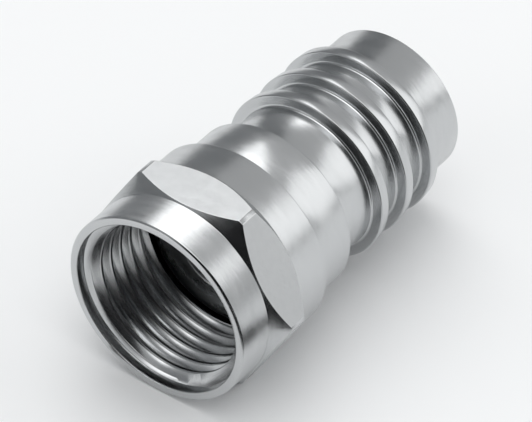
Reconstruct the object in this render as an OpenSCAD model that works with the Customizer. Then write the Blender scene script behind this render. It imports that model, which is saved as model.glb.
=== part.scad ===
// F-type coaxial cable plug: a captive hexagon nut, a flanged post and a ribbed crimp sleeve.
// The common axis runs along +Y, from the open mouth of the nut to the cable end.
// The plug lies on one flat of its nut, with the origin under the middle of its length.

/* [Coupling nut] */
// Width of the hexagon across its flats
hex_af = 11; // [10.8:0.1:12]
// Diameter to which the corners of the hexagon are turned
hex_corner_d = 12.55; // [12.2:0.05:12.7]
// Length of the hexagon, with the cones that end it
hex_len = 2.6; // [2.3:0.1:3]
// Angle between the front cone of the hexagon and the end face
front_cone_angle = 40; // [30:1:45]
// Angle between the rear cone of the hexagon and the end face
rear_cone_angle = 44; // [30:1:45]
// Diameter of the round nose in front of the hexagon
nose_d = 10.85; // [10.4:0.05:11]
// Length of the round nose
nose_len = 2.15; // [1.8:0.05:2.4]
// Diameter of the round skirt behind the hexagon
skirt_d = 10.9; // [10.4:0.05:11]
// Length of the round skirt
skirt_len = 2.2; // [2:0.1:3]
// Chamfer round the outer edge of the rim
rim_chamfer = 0.1; // [0.05:0.05:0.2]

/* [Mouth and thread] */
// Bore through the crests of the thread, 3/8-32 UNEF
thread_minor_d = 8.7; // [8.65:0.05:8.9]
// Plain entry in front of the thread
entry_d = 9.9; // [9.8:0.05:10.1]
// Depth of the plain entry
entry_len = 0.55; // [0.3:0.05:0.7]
// Angle between the cone that leads into the thread and the end face
entry_cone_angle = 30; // [25:1:35]
// Chamfer at the inner edge of the rim
mouth_chamfer = 0.05; // [0.05:0.05:0.15]
// Pocket behind the thread, in which the flange lies
pocket_d = 9.6; // [9.4:0.05:9.8]
// Length of the pocket in front of the face of the flange
relief_len = 0.25; // [0.2:0.05:0.6]
// Thickness of the lip that holds the nut on the post
lip_len = 0.9; // [0.8:0.05:1.1]

/* [Post] */
// Diameter of the flange
flange_d = 8.6; // [8:0.1:8.6]
// Thickness of the flange
flange_len = 0.65; // [0.5:0.05:0.9]
// Diameter of the neck, on which the nut turns and the sleeve is pressed
neck_d = 6.8; // [6.6:0.05:7]
// Outer diameter of the tube that goes under the braid of the cable
tube_d = 5.7; // [5.5:0.05:6]
// Bore of the post, for the insulation of the cable
post_bore_d = 4.9; // [4.7:0.05:5]
// Chamfer at the front edge of the bore
post_mouth_chamfer = 0.15; // [0.1:0.05:0.3]
// Taper at the tip of the tube, along the axis
tip_taper_len = 0.8; // [0.4:0.1:1.2]
// Wall that is left at the tip of the tube
tip_wall = 0.15; // [0.1:0.05:0.25]
// Distance by which the tube ends inside the sleeve
tip_recess = 1.5; // [1.2:0.1:2.5]

/* [Crimp sleeve] */
// Diameter of the collar behind the nut
collar_d = 9.8; // [9.2:0.1:10.4]
// Length of the collar
collar_len = 2.7; // [2.4:0.1:3.5]
// Diameter of the sleeve between its ribs and at its tail
barrel_d = 8.4; // [8.2:0.05:8.6]
// Bore of the sleeve, for the jacket of the cable
sleeve_bore_d = 7.2; // [7.1:0.05:7.4]
// Length of the sleeve that is pressed on the neck
press_len = 2; // [1.5:0.1:2.3]
// Length of the waist between the collar and the first rib
waist_len = 2.75; // [2:0.05:4]
// Number of crimp ribs
rib_count = 3; // [2:1:4]
// Diameter of the front edge of a rib
rib_d = 9.7; // [9.2:0.05:10]
// Diameter that a rib loses over its land
rib_taper = 0.08; // [0.04:0.02:0.2]
// Length of the land on top of a rib
rib_land = 0.62; // [0.4:0.02:0.8]
// Distance from one rib to the next
rib_pitch = 2.13; // [1.8:0.01:2.6]
// Length of the slope behind a rib
rib_back = 0.2; // [0.1:0.05:0.4]
// Fillet at the foot of the face of a rib
foot_fillet = 0.15; // [0.1:0.05:0.25]
// Length of the plain tail behind the land of the last rib
tail_len = 2.7; // [1.8:0.1:5]
// Chamfer inside the mouth of the tail
tail_mouth_chamfer = 0.25; // [0.1:0.05:0.3]

/* [Fits] */
// Radial clearance between the lip of the nut and the neck
spin_clearance = 0.08; // [0.04:0.01:0.1]
// Axial play of the nut, in front of the lip and again behind it
axial_play = 0.1; // [0.06:0.01:0.2]
// Amount by which the neck is larger than the bore of the sleeve pressed on it
press_interference = 0.02; // [0.01:0.01:0.04]
// Small chamfer that takes the burr off every turned edge
edge_break = 0.06; // [0.04:0.01:0.08]

/* [Hidden] */
$fn = 96;
// Length by which cutters and added shapes reach past the faces that they meet
overlap = 0.05;

axis_h = hex_af / 2;
nose_r = nose_d / 2;
skirt_r = skirt_d / 2;
corner_r = hex_corner_d / 2;
entry_r = entry_d / 2;
pocket_r = pocket_d / 2;
thread_minor_r = thread_minor_d / 2;
flange_r = flange_d / 2;
neck_r = neck_d / 2;
tube_r = tube_d / 2;
post_bore_r = post_bore_d / 2;
collar_r = collar_d / 2;
barrel_r = barrel_d / 2;
sleeve_bore_r = sleeve_bore_d / 2;
press_bore_r = neck_r - press_interference / 2;
lip_bore_r = neck_r + spin_clearance;
rib_front_r = rib_d / 2;
rib_rear_r = (rib_d - rib_taper) / 2;

// Places along the axis, each measured from the rim of the nut
thread_start = entry_len + (entry_r - thread_minor_r) * tan(entry_cone_angle);
front_cone_end = nose_len + (corner_r - nose_r) * tan(front_cone_angle);
skirt_start = nose_len + hex_len;
rear_cone_start = skirt_start - (corner_r - skirt_r) * tan(rear_cone_angle);
nut_len = skirt_start + skirt_len;
lip_front = nut_len - lip_len;
flange_back = lip_front - axial_play;
flange_front = flange_back - flange_len;
thread_end = flange_front - relief_len;
sleeve_front = nut_len + axial_play;
neck_end = sleeve_front + press_len;
collar_end = sleeve_front + collar_len;
first_rib = collar_end + waist_len;
last_rib = first_rib + (rib_count - 1) * rib_pitch;
sleeve_end = last_rib + rib_land + tail_len;
tip_end = sleeve_end - tip_recess;

// Sets a shape that stands on the rim of the nut, along +Z, in its place on the axis
module on_axis() {
    translate([0, -sleeve_end / 2, axis_h]) rotate([-90, 0, 0]) children();
}

// Turns a profile of [radius, distance from the rim] points
module turned(profile) {
    rotate_extrude() polygon(profile);
}

// Outline of the nut as it is turned, before the flats are cut
module nut_envelope() {
    turned([
        [0, 0],
        [nose_r - rim_chamfer, 0],
        [nose_r, rim_chamfer],
        [nose_r, nose_len],
        [corner_r, front_cone_end],
        [corner_r, rear_cone_start],
        [skirt_r, skirt_start],
        [skirt_r, nut_len - edge_break],
        [skirt_r - edge_break, nut_len],
        [0, nut_len]
    ]);
}

// Everything that is bored out of the nut: entry, thread bore, flange pocket and lip
module nut_bore() {
    turned([
        [0, -overlap],
        [entry_r + mouth_chamfer + overlap, -overlap],
        [entry_r, mouth_chamfer],
        [entry_r, entry_len],
        [thread_minor_r, thread_start],
        [thread_minor_r, thread_end],
        [pocket_r, thread_end],
        [pocket_r, lip_front],
        [lip_bore_r + edge_break, lip_front],
        [lip_bore_r, lip_front + edge_break],
        [lip_bore_r, nut_len - edge_break],
        [lip_bore_r + edge_break + overlap, nut_len + overlap],
        [0, nut_len + overlap]
    ]);
}

module coupling_nut() {
    color("silver") on_axis() difference() {
        intersection() {
            nut_envelope();
            cylinder(d = hex_af / cos(30), h = nut_len, $fn = 6);
        }
        nut_bore();
    }
}

module post() {
    color("lightgray") on_axis() turned([
        [post_bore_r + post_mouth_chamfer, flange_front],
        [flange_r - edge_break, flange_front],
        [flange_r, flange_front + edge_break],
        [flange_r, flange_back - edge_break],
        [flange_r - edge_break, flange_back],
        [neck_r, flange_back],
        [neck_r, neck_end],
        [tube_r, neck_end],
        [tube_r, tip_end - tip_taper_len],
        [post_bore_r + tip_wall, tip_end],
        [post_bore_r, tip_end],
        [post_bore_r, flange_front + post_mouth_chamfer]
    ]);
}

// Body of the sleeve as a half section: collar, barrel and the bore through both
module sleeve_section() {
    polygon([
        [press_bore_r + edge_break, sleeve_front],
        [collar_r - edge_break, sleeve_front],
        [collar_r, sleeve_front + edge_break],
        [collar_r, collar_end - edge_break],
        [collar_r - edge_break, collar_end],
        [barrel_r, collar_end],
        [barrel_r, sleeve_end - edge_break],
        [barrel_r - edge_break, sleeve_end],
        [sleeve_bore_r + tail_mouth_chamfer, sleeve_end],
        [sleeve_bore_r, sleeve_end - tail_mouth_chamfer],
        [sleeve_bore_r, neck_end],
        [press_bore_r, neck_end],
        [press_bore_r, sleeve_front + edge_break]
    ]);
}

// Half section of one rib: a steep face with a hollow foot, a land that tapers back, a slope
module rib_section() {
    polygon([
        [barrel_r - overlap, 0],
        [rib_front_r - edge_break, 0],
        [rib_front_r, edge_break],
        [rib_rear_r, rib_land],
        [barrel_r, rib_land + rib_back],
        [barrel_r - overlap, rib_land + rib_back]
    ]);
    difference() {
        translate([barrel_r - overlap, -foot_fillet])
            square([foot_fillet + overlap, foot_fillet + overlap]);
        translate([barrel_r + foot_fillet, -foot_fillet]) circle(r = foot_fillet);
    }
}

module crimp_sleeve() {
    color("gainsboro") on_axis() rotate_extrude() {
        sleeve_section();
        for (i = [0 : rib_count - 1])
            translate([0, first_rib + i * rib_pitch]) rib_section();
    }
}

coupling_nut();
post();
crimp_sleeve();
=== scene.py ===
import math

import bpy
from mathutils import Matrix, Vector


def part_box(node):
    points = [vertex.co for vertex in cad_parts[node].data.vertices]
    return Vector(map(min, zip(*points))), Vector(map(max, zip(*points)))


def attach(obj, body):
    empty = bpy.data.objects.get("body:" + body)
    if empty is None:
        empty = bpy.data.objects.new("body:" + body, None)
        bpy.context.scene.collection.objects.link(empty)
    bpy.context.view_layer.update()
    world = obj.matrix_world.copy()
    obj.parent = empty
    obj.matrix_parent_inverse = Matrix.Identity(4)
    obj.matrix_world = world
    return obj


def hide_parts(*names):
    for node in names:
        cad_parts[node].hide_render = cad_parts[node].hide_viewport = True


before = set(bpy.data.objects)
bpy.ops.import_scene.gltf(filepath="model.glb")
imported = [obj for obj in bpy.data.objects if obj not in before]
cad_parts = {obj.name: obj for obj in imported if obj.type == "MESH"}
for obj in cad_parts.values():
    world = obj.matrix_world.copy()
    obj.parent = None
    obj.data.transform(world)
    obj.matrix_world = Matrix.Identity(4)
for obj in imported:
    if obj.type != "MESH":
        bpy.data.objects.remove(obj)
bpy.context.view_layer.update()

mm = 0.001
tiny = 1e-7  # merge and cut distance, far below any edge of this part
upright = math.radians(90)

nutLow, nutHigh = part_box("coupling_nut")
sleeveLow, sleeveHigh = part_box("crimp_sleeve")
postLow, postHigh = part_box("post")
rimY = nutLow.y  # the rim of the nut, from which every place along the axis is measured
axisZ = (nutLow.z + nutHigh.z) / 2
flatDistance = (nutHigh.z - nutLow.z) / 2 / mm
nutEnd = (nutHigh.y - rimY) / mm
sleeveStart = (sleeveLow.y - rimY) / mm
sleeveEnd = (sleeveHigh.y - rimY) / mm
flangeFront = (postLow.y - rimY) / mm
postEnd = (postHigh.y - rimY) / mm


# hand tools used by every piece

def deselectAll():
    if bpy.context.object and bpy.context.object.mode != "OBJECT":
        bpy.ops.object.mode_set(mode="OBJECT")
    bpy.ops.object.select_all(action="DESELECT")


def pick(piece):
    deselectAll()
    piece.select_set(True)
    bpy.context.view_layer.objects.active = piece


def settle(piece, name):
    # named, and its place put into its mesh
    piece.name = name
    piece.data.name = name
    pick(piece)
    bpy.ops.object.transform_apply(location=True, rotation=True, scale=True)
    return piece


def addModifier(piece, kind, **values):
    m = piece.modifiers.new(kind.lower(), kind)
    for key, value in values.items():
        setattr(m, key, value)
    return m


def applyModifiers(piece):
    pick(piece)
    for m in list(piece.modifiers):
        bpy.ops.object.modifier_apply(modifier=m.name)


def turned(name, sections, steps=256):
    # a circle drawn out section by section along the axis, and closed on its first ring
    radius, place = sections[0]
    deselectAll()
    bpy.ops.mesh.primitive_circle_add(vertices=steps, radius=radius * mm, fill_type="NOTHING",
                                      location=(0, rimY + place * mm, axisZ), rotation=(upright, 0, 0))
    piece = settle(bpy.context.object, name)
    bpy.ops.object.mode_set(mode="EDIT")
    bpy.ops.mesh.select_all(action="SELECT")
    for newRadius, newPlace in sections[1:] + sections[:1]:
        bpy.ops.mesh.extrude_region_move(
            TRANSFORM_OT_translate={"value": (0, (newPlace - place) * mm, 0)})
        grow = newRadius / radius
        bpy.ops.transform.resize(value=(grow, 1, grow), center_override=(0, rimY + newPlace * mm, axisZ))
        radius, place = newRadius, newPlace
    bpy.ops.mesh.select_all(action="SELECT")
    bpy.ops.mesh.remove_doubles(threshold=tiny * 10)
    bpy.ops.mesh.normals_make_consistent(inside=False)
    bpy.ops.object.mode_set(mode="OBJECT")
    return piece


def softEdges(piece, width, segments=2, angle=24):
    addModifier(piece, "BEVEL", width=width * mm, segments=segments, limit_method="ANGLE",
                angle_limit=math.radians(angle), use_clamp_overlap=False)
    applyModifiers(piece)


def shade(piece, angle):
    pick(piece)
    bpy.ops.object.shade_smooth_by_angle(angle=math.radians(angle))
    addModifier(piece, "WEIGHTED_NORMAL", keep_sharp=True, weight=50)
    applyModifiers(piece)


def arc(radius, place, size, start, end, count):
    # points of a fillet or a round, in degrees, 0 outwards and 90 towards the cable
    points = []
    for i in range(count + 1):
        a = math.radians(start + (end - start) * i / count)
        points.append((radius + size * math.cos(a), place + size * math.sin(a)))
    return points


# the coupling nut

nutValues = {
    "noseRadius": 5.425, "noseLength": 2.15, "rimChamfer": 0.09,
    "hexLength": 2.6, "frontCone": 40, "rearCone": 44,
    "skirtRadius": 5.45,
    "mouthRadius": 4.95, "mouthEdge": 0.04, "entryLength": 0.55, "entryCone": 30, "undercut": 0.03,
    "minorRadius": 4.35, "threadEnd": 5.05, "pocketRadius": 4.8,
    "lipLength": 0.9, "lipRadius": 3.48, "edgeBreak": 0.06,
    "softEdge": 0.018, "sharpAngle": 35,
}
threadValues = {
    "pitch": 0.79375, "turns": 7, "start": -0.334, "rootRadius": 4.77, "rootHalf": 0.05,
    "floorShare": 0.4, "rootRound": 0.02, "flankAngle": 30, "crestRound": 0.07,
    "crestCurve": ((0.035, 0.028), (0.075, 0.085)),  # inwards and along the axis from the end of a flank
    "stepsPerTurn": 128,
}


def flatDirections():
    # the way out of each of the six flats, one of them straight up
    angles = [math.radians(30 + 60 * side) for side in range(6)]
    return [Vector((math.cos(a), 0, math.sin(a))) for a in angles]


def makeNut():
    v = nutValues
    cornerRadius = (nutHigh.x - nutLow.x) / 2 / mm
    coneEnd = v["noseLength"] + (cornerRadius - v["noseRadius"]) * math.tan(math.radians(v["frontCone"]))
    skirtStart = v["noseLength"] + v["hexLength"]
    rearCone = skirtStart - (cornerRadius - v["skirtRadius"]) * math.tan(math.radians(v["rearCone"]))
    lipFront = nutEnd - v["lipLength"]
    b = v["edgeBreak"]
    edge = v["mouthEdge"]
    undercut = v["undercut"]
    entryEnd = v["entryLength"]
    threadStart = entryEnd + (v["mouthRadius"] - v["minorRadius"]) * math.tan(math.radians(v["entryCone"]))
    sections = [
        (v["noseRadius"] - v["rimChamfer"], 0),
        (v["noseRadius"], v["rimChamfer"]),
        (v["noseRadius"], v["noseLength"]),
        (cornerRadius, coneEnd),
        (cornerRadius, rearCone),
        (v["skirtRadius"], skirtStart),
        (v["skirtRadius"], nutEnd - b),
        (v["skirtRadius"] - b, nutEnd),
        (v["lipRadius"] + b, nutEnd),
        (v["lipRadius"], nutEnd - b),
        (v["lipRadius"], lipFront + b),
        (v["lipRadius"] + b, lipFront),
        (v["pocketRadius"], lipFront),
        (v["pocketRadius"], v["threadEnd"]),
        (v["minorRadius"], v["threadEnd"]),
        (v["minorRadius"], threadStart),
        (v["mouthRadius"], entryEnd),
        (v["mouthRadius"] + undercut, entryEnd),
        (v["mouthRadius"] + undercut, entryEnd - undercut),
        (v["mouthRadius"], entryEnd - undercut),
        (v["mouthRadius"], edge),
        (v["mouthRadius"] + edge, 0),
    ]
    nut = turned("coupling_nut_looks", sections)
    # six flats are cut off the turned blank, each cut filled as it is made
    bpy.ops.object.mode_set(mode="EDIT")
    for outwards in flatDirections():
        bpy.ops.mesh.select_all(action="SELECT")
        bpy.ops.mesh.bisect(plane_co=Vector((0, 0, axisZ)) + outwards * flatDistance * mm, plane_no=outwards,
                            use_fill=True, clear_outer=True, threshold=tiny)
    bpy.ops.object.mode_set(mode="OBJECT")
    softEdges(nut, v["softEdge"])
    print("nut: blank and flats", len(nut.data.polygons))
    cutThread(nut)
    return nut


def cutThread(nut):
    # the section of the groove is drawn on a plane, wound round the axis, and taken out of the bore
    t = threadValues
    crest = nutValues["minorRadius"] + t["crestRound"]
    slope = math.tan(math.radians(t["flankAngle"]))
    flankEnd = t["rootHalf"] + (t["rootRadius"] - crest) * slope
    half = [
        (t["rootRadius"], t["rootHalf"] * t["floorShare"]),
        (t["rootRadius"] - t["rootRound"], t["rootHalf"]),
        (crest, flankEnd),
    ]
    half += [(crest - inwards, flankEnd + along) for inwards, along in t["crestCurve"]]
    corners = [(r, -w) for r, w in reversed(half)] + half
    deselectAll()
    bpy.ops.mesh.primitive_circle_add(vertices=len(corners), radius=mm, fill_type="NOTHING")
    groove = settle(bpy.context.object, "groove")
    for corner, (radius, place) in zip(groove.data.vertices, corners):
        corner.co = (radius * mm, (t["start"] + place) * mm, 0)
    steps = t["stepsPerTurn"]
    addModifier(groove, "SCREW", axis="Y", angle=math.tau, screw_offset=t["pitch"] * mm,
                iterations=t["turns"], steps=steps, render_steps=steps, use_merge_vertices=False)
    applyModifiers(groove)
    bpy.ops.object.mode_set(mode="EDIT")
    bpy.ops.mesh.select_all(action="SELECT")
    bpy.ops.mesh.remove_doubles(threshold=tiny * 10)
    bpy.ops.mesh.select_all(action="DESELECT")
    bpy.ops.mesh.select_non_manifold()
    bpy.ops.mesh.edge_face_add()
    bpy.ops.mesh.select_all(action="SELECT")
    bpy.ops.mesh.normals_make_consistent(inside=False)
    bpy.ops.object.mode_set(mode="OBJECT")
    groove.location = (0, rimY, axisZ)
    settle(groove, "groove")
    addModifier(nut, "BOOLEAN", operation="DIFFERENCE", object=groove, solver="EXACT")
    applyModifiers(nut)
    print("nut: thread cut", len(nut.data.polygons))
    bpy.data.objects.remove(groove)


# the post

postValues = {
    "flangeRadius": 4.3, "flangeLength": 0.65, "neckRadius": 3.4, "neckEnd": 9.05,
    "tubeRadius": 2.85, "boreRadius": 2.45, "boreChamfer": 0.15,
    "tipTaper": 0.8, "tipWall": 0.15, "edgeBreak": 0.06, "softEdge": 0.018, "steps": 192, "sharpAngle": 50,
}


def makePost():
    v = postValues
    flangeBack = flangeFront + v["flangeLength"]
    b = v["edgeBreak"]
    post = turned("post_looks", [
        (v["boreRadius"] + v["boreChamfer"], flangeFront),
        (v["flangeRadius"] - b, flangeFront),
        (v["flangeRadius"], flangeFront + b),
        (v["flangeRadius"], flangeBack - b),
        (v["flangeRadius"] - b, flangeBack),
        (v["neckRadius"], flangeBack),
        (v["neckRadius"], v["neckEnd"]),
        (v["tubeRadius"], v["neckEnd"]),
        (v["tubeRadius"], postEnd - v["tipTaper"]),
        (v["boreRadius"] + v["tipWall"], postEnd),
        (v["boreRadius"], postEnd),
        (v["boreRadius"], flangeFront + v["boreChamfer"]),
    ], v["steps"])
    softEdges(post, v["softEdge"])
    return post


# the crimp sleeve

sleeveValues = {
    "collarRadius": 4.9, "collarLength": 2.7, "barrelRadius": 4.2,
    "boreRadius": 3.6, "pressRadius": 3.39, "neckEnd": 9.05,
    "ribStart": 12.5, "ribPitch": 2.13, "ribCount": 3,
    "ribFront": 4.85, "ribRear": 4.81, "ribLand": 0.62, "ribBack": 0.2, "footFillet": 0.15,
    "footSteps": 6, "mouthChamfer": 0.25, "edgeBreak": 0.05, "softEdge": 0.015, "sharpAngle": 50,
}


def makeSleeve():
    v = sleeveValues
    b = v["edgeBreak"]
    collarEnd = sleeveStart + v["collarLength"]
    foot = v["footFillet"]
    sections = [
        (v["pressRadius"] + b, sleeveStart),
        (v["collarRadius"] - b, sleeveStart),
        (v["collarRadius"], sleeveStart + b),
        (v["collarRadius"], collarEnd - b),
        (v["collarRadius"] - b, collarEnd),
        (v["barrelRadius"], collarEnd),
    ]
    for i in range(v["ribCount"]):
        front = v["ribStart"] + i * v["ribPitch"]
        sections += arc(v["barrelRadius"] + foot, front - foot, foot, 180, 90, v["footSteps"])
        sections += [
            (v["ribFront"] - b, front),
            (v["ribFront"], front + b),
            (v["ribRear"], front + v["ribLand"]),
            (v["barrelRadius"], front + v["ribLand"] + v["ribBack"]),
        ]
    sections += [
        (v["barrelRadius"], sleeveEnd - b),
        (v["barrelRadius"] - b, sleeveEnd),
        (v["boreRadius"] + v["mouthChamfer"], sleeveEnd),
        (v["boreRadius"], sleeveEnd - v["mouthChamfer"]),
        (v["boreRadius"], v["neckEnd"]),
        (v["pressRadius"], v["neckEnd"]),
        (v["pressRadius"], sleeveStart + b),
    ]
    sleeve = turned("crimp_sleeve_looks", sections)
    softEdges(sleeve, v["softEdge"])
    return sleeve


# the finishes

def newGroup(name, inputs, outputs):
    g = bpy.data.node_groups.new(name, "ShaderNodeTree")
    for label, kind, value in inputs:
        s = g.interface.new_socket(label, in_out="INPUT", socket_type=kind)
        if value is not None:
            s.default_value = value
    for label, kind in outputs:
        g.interface.new_socket(label, in_out="OUTPUT", socket_type=kind)
    return g


def feed(tree, n, inputs):
    # each input gets a plain value, or a socket to join
    for key, value in inputs.items():
        if isinstance(value, bpy.types.NodeSocket):
            tree.links.new(value, n.inputs[key])
        else:
            n.inputs[key].default_value = value


def node(tree, kind, inputs=None, **values):
    n = tree.nodes.new("ShaderNode" + kind)
    for key, value in values.items():
        setattr(n, key, value)
    feed(tree, n, inputs or {})
    return n


def groupEnds(g):
    start = g.nodes.new("NodeGroupInput")
    end = g.nodes.new("NodeGroupOutput")
    return start, end


def reckon(tree, operation, a, b, c=0.0):
    return node(tree, "Math", {0: a, 1: b, 2: c}, operation=operation).outputs[0]


def aboutAxis(tree):
    # where a point is on its piece, measured from the common axis
    where = node(tree, "TexCoord").outputs["Object"]
    return node(tree, "Mapping", {"Vector": where, "Location": (0, 0, -axisZ)}).outputs[0]


def spread(tree, noise, low, high):
    # the middle of a noise, where nearly all of it lies, spread from low to high
    return node(tree, "MapRange", {"Value": noise, "From Min": 0.3, "From Max": 0.7,
                                   "To Min": low, "To Max": high}).outputs[0]


grainValues = {
    # steps per metre
    "fine": 9000.0, "coarse": 1800.0, "waverFine": 16000.0, "waverSpan": 420.0,
    "cloud": 900.0, "pits": 1400.0, "pitPatches": 420.0, "scratch": 1500.0,
    # plain shares and limits
    "coarseShare": 0.6, "coarseSeed": 7.3, "ringLength": 2.5,
    "pitCore": 0.03, "pitEdge": 0.07, "pitRarity": 0.62,
    "scratchStretch": 0.06, "scratchFrom": 0.64, "scratchTo": 0.72, "scratchDepth": 0.5,
}


def makeTurningMarks():
    # fine rings left by the lathe: long round the axis, fine along it and across end faces
    v = grainValues
    g = newGroup("turningMarks",
                 [("Fine", "NodeSocketFloat", v["fine"]), ("Coarse", "NodeSocketFloat", v["coarse"]),
                  ("Length", "NodeSocketFloat", v["ringLength"])],
                 [("Height", "NodeSocketFloat"), ("Streak", "NodeSocketFloat")])
    start, end = groupEnds(g)
    xyz = node(g, "SeparateXYZ", {0: aboutAxis(g)})
    flat = node(g, "CombineXYZ", {"X": xyz.outputs["X"], "Y": 0.0, "Z": xyz.outputs["Z"]}).outputs[0]
    radius = node(g, "VectorMath", {0: flat}, operation="LENGTH").outputs["Value"]
    around = node(g, "VectorMath", {0: flat}, operation="NORMALIZE").outputs[0]
    stretched = node(g, "VectorMath", {0: around, "Scale": start.outputs["Length"]}, operation="SCALE")
    sides = node(g, "SeparateXYZ", {0: stretched.outputs[0]})
    heights = []
    for label, seed in (("Fine", 0.0), ("Coarse", v["coarseSeed"])):
        along = reckon(g, "MULTIPLY", xyz.outputs["Y"], start.outputs[label])
        across = reckon(g, "MULTIPLY_ADD", radius, start.outputs[label], seed)
        place = node(g, "CombineXYZ", {"X": sides.outputs["X"], "Y": along, "Z": sides.outputs["Z"]})
        noise = node(g, "TexNoise", {"Vector": place.outputs[0], "W": across, "Scale": 1.0, "Detail": 2.0,
                                     "Roughness": 0.6}, noise_dimensions="4D")
        heights.append(noise.outputs["Fac"])
    g.links.new(reckon(g, "MULTIPLY_ADD", heights[1], v["coarseShare"], heights[0]), end.inputs["Height"])
    g.links.new(heights[1], end.inputs["Streak"])
    return g


def makeWaver():
    # each fine ring turned a little to its own side, which makes the edges of a reflection ragged
    v = grainValues
    g = newGroup("ringWaver",
                 [("Fine", "NodeSocketFloat", v["waverFine"]), ("Amount", "NodeSocketFloat", 0.1)],
                 [("Normal", "NodeSocketVector")])
    start, end = groupEnds(g)
    xyz = node(g, "SeparateXYZ", {0: aboutAxis(g)})
    along = reckon(g, "MULTIPLY", xyz.outputs["Y"], start.outputs["Fine"])
    sideX = reckon(g, "MULTIPLY", xyz.outputs["X"], v["waverSpan"])
    sideZ = reckon(g, "MULTIPLY", xyz.outputs["Z"], v["waverSpan"])
    place = node(g, "CombineXYZ", {"X": sideX, "Y": along, "Z": sideZ}).outputs[0]
    noise = node(g, "TexNoise", {"Vector": place, "Scale": 1.0, "Detail": 2.0,
                                 "Roughness": 0.7}).outputs["Fac"]
    swing = reckon(g, "MULTIPLY", reckon(g, "SUBTRACT", noise, 0.5), start.outputs["Amount"])
    sideways = node(g, "Tangent", direction_type="RADIAL", axis="Y").outputs[0]
    push = node(g, "VectorMath", {0: sideways, "Scale": swing}, operation="SCALE").outputs[0]
    plain = node(g, "NewGeometry").outputs["Normal"]
    leaning = node(g, "VectorMath", {0: plain, 1: push}, operation="ADD").outputs[0]
    g.links.new(node(g, "VectorMath", {0: leaning}, operation="NORMALIZE").outputs[0], end.inputs["Normal"])
    return g


def makeMottle():
    # cloudy differences in the plating and small dark pits
    v = grainValues
    g = newGroup("platingMottle",
                 [("Scale", "NodeSocketFloat", v["cloud"]), ("Pits", "NodeSocketFloat", v["pits"])],
                 [("Cloud", "NodeSocketFloat"), ("Pit", "NodeSocketFloat")])
    start, end = groupEnds(g)
    where = node(g, "TexCoord").outputs["Object"]
    cloud = node(g, "TexNoise", {"Vector": where, "Scale": start.outputs["Scale"], "Detail": 4.0,
                                 "Roughness": 0.65}).outputs["Fac"]
    cells = node(g, "TexVoronoi", {"Vector": where, "Scale": start.outputs["Pits"]}).outputs["Distance"]
    near = node(g, "MapRange", {"Value": cells, "From Min": v["pitCore"], "From Max": v["pitEdge"],
                                "To Min": 1.0, "To Max": 0.0}).outputs[0]
    rare = node(g, "TexNoise", {"Vector": where, "Scale": v["pitPatches"], "Detail": 1.0}).outputs["Fac"]
    rareMask = reckon(g, "GREATER_THAN", rare, v["pitRarity"])
    g.links.new(cloud, end.inputs["Cloud"])
    g.links.new(reckon(g, "MULTIPLY", near, rareMask), end.inputs["Pit"])
    return g


def makeScratches():
    # straight fine scratches in three directions, as from handling and from the bar's drawn faces
    v = grainValues
    g = newGroup("fineScratches",
                 [("Scale", "NodeSocketFloat", v["scratch"]),
                  ("Amount", "NodeSocketFloat", v["scratchDepth"])],
                 [("Scratch", "NodeSocketFloat")])
    start, end = groupEnds(g)
    where = node(g, "TexCoord").outputs["Object"]
    total = None
    for turn, seed in (((0.3, 0.2, 0.9), 1.0), ((0.5, -0.4, -0.6), 4.0), ((-0.2, 0.9, 2.2), 9.0)):
        place = node(g, "Mapping", {"Vector": where, "Rotation": turn, "Location": (seed, 0, 0),
                                    "Scale": (v["scratchStretch"], 1.0, 1.0)}).outputs[0]
        lines = node(g, "TexNoise", {"Vector": place, "Scale": start.outputs["Scale"], "Detail": 2.0})
        thin = node(g, "MapRange", {"Value": lines.outputs["Fac"], "From Min": v["scratchFrom"],
                                    "From Max": v["scratchTo"]}).outputs[0]
        total = thin if total is None else reckon(g, "MAXIMUM", total, thin)
    g.links.new(reckon(g, "MULTIPLY", total, start.outputs["Amount"]), end.inputs["Scratch"])
    return g


turningMarks = makeTurningMarks()
ringWaver = makeWaver()
platingMottle = makeMottle()
fineScratches = makeScratches()

nickelValues = {
    "colour": (0.590, 0.600, 0.606, 1), "shade": (0.470, 0.480, 0.488, 1), "pit": (0.08, 0.08, 0.09, 1),
    "cloud": 0.3, "pitStrength": 0.8, "bumpHeight": 0.02 * mm,
    "anisotropy": 0.7,  # across the rings the reflection spreads more than along them
}
flatValues = {
    "mottle": 2600.0, "cloud": 0.35, "smoothest": 0.32, "roughest": 0.42, "bump": 0.25,
}


def newMaterial(name):
    m = bpy.data.materials.new(name)
    m.use_nodes = True
    tree = m.node_tree
    shader = tree.nodes["Principled BSDF"]
    shader.inputs["Metallic"].default_value = 1.0
    return m, tree, shader


def mixColour(tree, amount, a, b):
    n = tree.nodes.new("ShaderNodeMix")
    n.data_type = "RGBA"
    feed(tree, n, {0: amount, 6: a, 7: b})
    return n.outputs[2]


def groupNode(tree, group, inputs=None):
    n = tree.nodes.new("ShaderNodeGroup")
    n.node_tree = group
    feed(tree, n, inputs or {})
    return n


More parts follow.
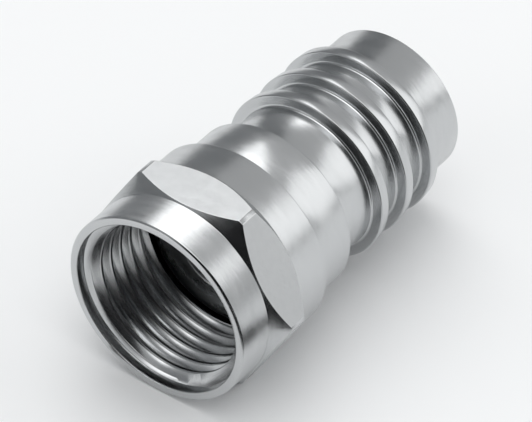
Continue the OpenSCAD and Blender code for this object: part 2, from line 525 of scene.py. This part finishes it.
def turnedNickel(name, rough, roughSpread, bump, waver):
    v = nickelValues
    m, tree, shader = newMaterial(name)
    shader.inputs["Anisotropic"].default_value = v["anisotropy"]
    sideways = node(tree, "Tangent", direction_type="RADIAL", axis="Y").outputs[0]
    tree.links.new(sideways, shader.inputs["Tangent"])
    marks = groupNode(tree, turningMarks)
    mottle = groupNode(tree, platingMottle)
    tone = reckon(tree, "MULTIPLY", mottle.outputs["Cloud"], v["cloud"])
    pitted = reckon(tree, "MULTIPLY", mottle.outputs["Pit"], v["pitStrength"])
    colour = mixColour(tree, pitted, mixColour(tree, tone, v["colour"], v["shade"]), v["pit"])
    tree.links.new(colour, shader.inputs["Base Color"])
    roughness = spread(tree, marks.outputs["Streak"], rough - roughSpread, rough + roughSpread)
    tree.links.new(roughness, shader.inputs["Roughness"])
    leaning = groupNode(tree, ringWaver, {"Amount": waver})
    rings = node(tree, "Bump", {"Height": marks.outputs["Height"], "Strength": bump,
                                "Distance": v["bumpHeight"], "Normal": leaning.outputs["Normal"]}).outputs[0]
    tree.links.new(rings, shader.inputs["Normal"])
    return m


def flatNickel(name):
    v = flatValues
    m, tree, shader = newMaterial(name)
    mottle = groupNode(tree, platingMottle, {"Scale": v["mottle"]})
    scratch = groupNode(tree, fineScratches)
    tone = reckon(tree, "MULTIPLY", mottle.outputs["Cloud"], v["cloud"])
    colour = mixColour(tree, tone, nickelValues["colour"], nickelValues["shade"])
    tree.links.new(colour, shader.inputs["Base Color"])
    roughness = spread(tree, mottle.outputs["Cloud"], v["smoothest"], v["roughest"])
    tree.links.new(roughness, shader.inputs["Roughness"])
    height = reckon(tree, "MULTIPLY_ADD", scratch.outputs["Scratch"], -1.0, mottle.outputs["Cloud"])
    grain = node(tree, "Bump", {"Height": height, "Strength": v["bump"],
                                "Distance": nickelValues["bumpHeight"]}).outputs[0]
    tree.links.new(grain, shader.inputs["Normal"])
    return m


noseNickel = turnedNickel("brightTurnedNickel", rough=0.23, roughSpread=0.04, bump=0.06, waver=0.10)
boreNickel = turnedNickel("threadNickel", rough=0.2, roughSpread=0.04, bump=0.02, waver=0.015)
hexNickel = flatNickel("satinFlatNickel")
postNickel = turnedNickel("postNickel", rough=0.30, roughSpread=0.08, bump=0.15, waver=0.10)
sleeveNickel = turnedNickel("sleeveTurnedNickel", rough=0.23, roughSpread=0.04, bump=0.06, waver=0.12)


def flatFaces(piece):
    # the faces that lie in one of the six planes of the hexagon
    sameWay = 0.9999
    sameReach = 0.01
    found = []
    for face in piece.data.polygons:
        for outwards in flatDirections():
            reach = (face.center - Vector((0, 0, axisZ))).dot(outwards) / mm
            if face.normal.dot(outwards) > sameWay and abs(reach - flatDistance) < sameReach:
                found.append(face)
    return found


def boreFaces(piece):
    # the faces inside the mouth, as far back as the lip
    widest = nutValues["mouthRadius"] - 0.02
    last = rimY + (nutEnd - 0.5) * mm
    found = []
    for face in piece.data.polygons:
        radius = math.hypot(face.center.x, face.center.z - axisZ) / mm
        if radius < widest and face.center.y < last:
            found.append(face)
    return found


nut = makeNut()
nut.data.materials.append(noseNickel)
nut.data.materials.append(hexNickel)
nut.data.materials.append(boreNickel)
for face in flatFaces(nut):
    face.material_index = 1
for face in boreFaces(nut):
    face.material_index = 2
shade(nut, nutValues["sharpAngle"])

post = makePost()
post.data.materials.append(postNickel)
shade(post, postValues["sharpAngle"])

sleeve = makeSleeve()
sleeve.data.materials.append(sleeveNickel)
shade(sleeve, sleeveValues["sharpAngle"])

for piece, body, cadNode, slotName in (
        (nut, "nut", "coupling_nut", "nut_plating"),
        (post, "plug_body", "post", "post_plating"),
        (sleeve, "plug_body", "crimp_sleeve", "sleeve_plating")):
    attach(piece, body)
    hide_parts(cadNode)
print("pieces made")


# the studio

studioValues = {
    "world": (0.50, 0.508, 0.512, 1), "floor": (0.93, 0.935, 0.94, 1), "floorSize": 2.4,
    "card": (0.26, 0.268, 0.275, 1), "black": (0.012, 0.012, 0.013, 1),
}
aim = Vector((0, 0, axisZ))


def softbox(name, place, width, height, level, slant):
    light = bpy.data.lights.new(name, "AREA")
    light.shape = "RECTANGLE"
    light.size, light.size_y = width, height
    light.energy = level * width * height * math.pi  # level is the brightness of its face, 1 is white
    o = bpy.data.objects.new(name, light)
    bpy.context.scene.collection.objects.link(o)
    o.location = aim + Vector(place)
    facing = Vector(place).to_track_quat("Z", "Y").to_matrix() @ Matrix.Rotation(math.radians(slant), 3, "Z")
    o.rotation_euler = facing.to_euler()
    o.visible_camera = False
    return o


def dullPaint(name, colour, roughness, shine):
    m = bpy.data.materials.new(name)
    m.use_nodes = True
    inputs = {"Base Color": colour, "Roughness": roughness, "Specular IOR Level": shine}
    feed(m.node_tree, m.node_tree.nodes["Principled BSDF"], inputs)
    return m


def card(name, place, turn, width, height, colour):
    # a dark card that only the metal sees
    deselectAll()
    bpy.ops.mesh.primitive_plane_add(size=1, location=place, rotation=turn)
    o = bpy.context.object
    o.name = name
    o.scale = (width, height, 1)
    o.data.materials.append(dullPaint(name, colour, 1.0, 0.0))
    o.visible_camera = False
    o.visible_diffuse = False
    o.visible_shadow = False
    return o


def standingCard(name, direction, distance, width, height, colour):
    back = Vector(direction).normalized()
    return card(name, aim + back * distance, back.to_track_quat("Z", "Y").to_euler(), width, height, colour)


def lyingCard(name, left, right, front, rear, height, colour):
    # flat and low, its edges in mm from the axis and from the rim
    middle = Vector(((left + right) / 2, (front + rear) / 2, 0)) * mm + Vector((0, rimY, height * mm))
    return card(name, middle, (0, 0, 0), (right - left) * mm, (rear - front) * mm, colour)


def makeStudio():
    world = bpy.data.worlds.new("studio")
    bpy.context.scene.world = world
    world.use_nodes = True
    world.node_tree.nodes["Background"].inputs["Color"].default_value = studioValues["world"]
    deselectAll()
    bpy.ops.mesh.primitive_plane_add(size=studioValues["floorSize"], location=(0, 0, 0))
    floor = bpy.context.object
    floor.name = "studioFloor"
    floor.data.materials.append(dullPaint("paleFloor", studioValues["floor"], 0.9, 0.1))
    softbox("overheadSoftbox", (-0.034, 0.03, 0.235), width=0.17, height=0.46, level=1.65, slant=6)
    softbox("rightSoftbox", (0.16, 0.16, 0.12), width=0.16, height=0.2, level=0.95, slant=12)
    softbox("frontSoftbox", (-0.14, -0.24, 0.06), width=0.16, height=0.1, level=1.6, slant=0)
    # dark cards for the metal to show: far left, towards the camera, and low round the mouth
    sideways = Vector((-0.89, 0, 0.45)).to_track_quat("Z", "Y").to_euler()
    card("darkCardLeft", aim + Vector((-0.143, 0.08, 0.073)), sideways, 0.64, 0.15, studioValues["card"])
    black = studioValues["black"]
    standingCard("blackCardFront", (0.571, -0.731, 0.375), 0.2, 0.31, 0.26, black)
    lyingCard("blackCardLow", left=-0.5, right=90, front=-170, rear=-8.5, height=0.4, colour=black)
    lyingCard("blackCardRight", left=11.3, right=90, front=-8.5, rear=8.2, height=0.4, colour=black)
    lyingCard("threadShade", left=-3.6, right=0.4, front=-4.4, rear=-0.8, height=0.3, colour=black)


cameraValues = {
    "azimuth": 36.49, "elevation": 41.75, "roll": 0.35, "lens": 406, "distance": 298,
    "right": 5.49, "up": 4.9,  # from the middle of the rim to the middle of the view
    "clipStart": 0.01, "clipEnd": 10,
}


def makeCamera():
    # the plug is seen from its front right, well from above, through a long lens
    c = cameraValues
    azimuth, elevation = math.radians(c["azimuth"]), math.radians(c["elevation"])
    back = Vector((math.sin(azimuth) * math.cos(elevation), -math.cos(azimuth) * math.cos(elevation),
                   math.sin(elevation)))
    turn = back.to_track_quat("Z", "Y").to_matrix() @ Matrix.Rotation(math.radians(c["roll"]), 3, "Z")
    middle = Vector((0, rimY, axisZ)) + turn @ Vector((c["right"], c["up"], 0)) * mm
    camera = bpy.data.cameras.new("camera")
    camera.lens = c["lens"]
    camera.clip_start, camera.clip_end = c["clipStart"], c["clipEnd"]
    o = bpy.data.objects.new("camera", camera)
    bpy.context.scene.collection.objects.link(o)
    o.location = middle + back * c["distance"] * mm
    o.rotation_euler = turn.to_euler()
    bpy.context.scene.camera = o


makeStudio()
makeCamera()
bpy.context.scene.view_settings.view_transform = "Standard"
print("studio and camera")
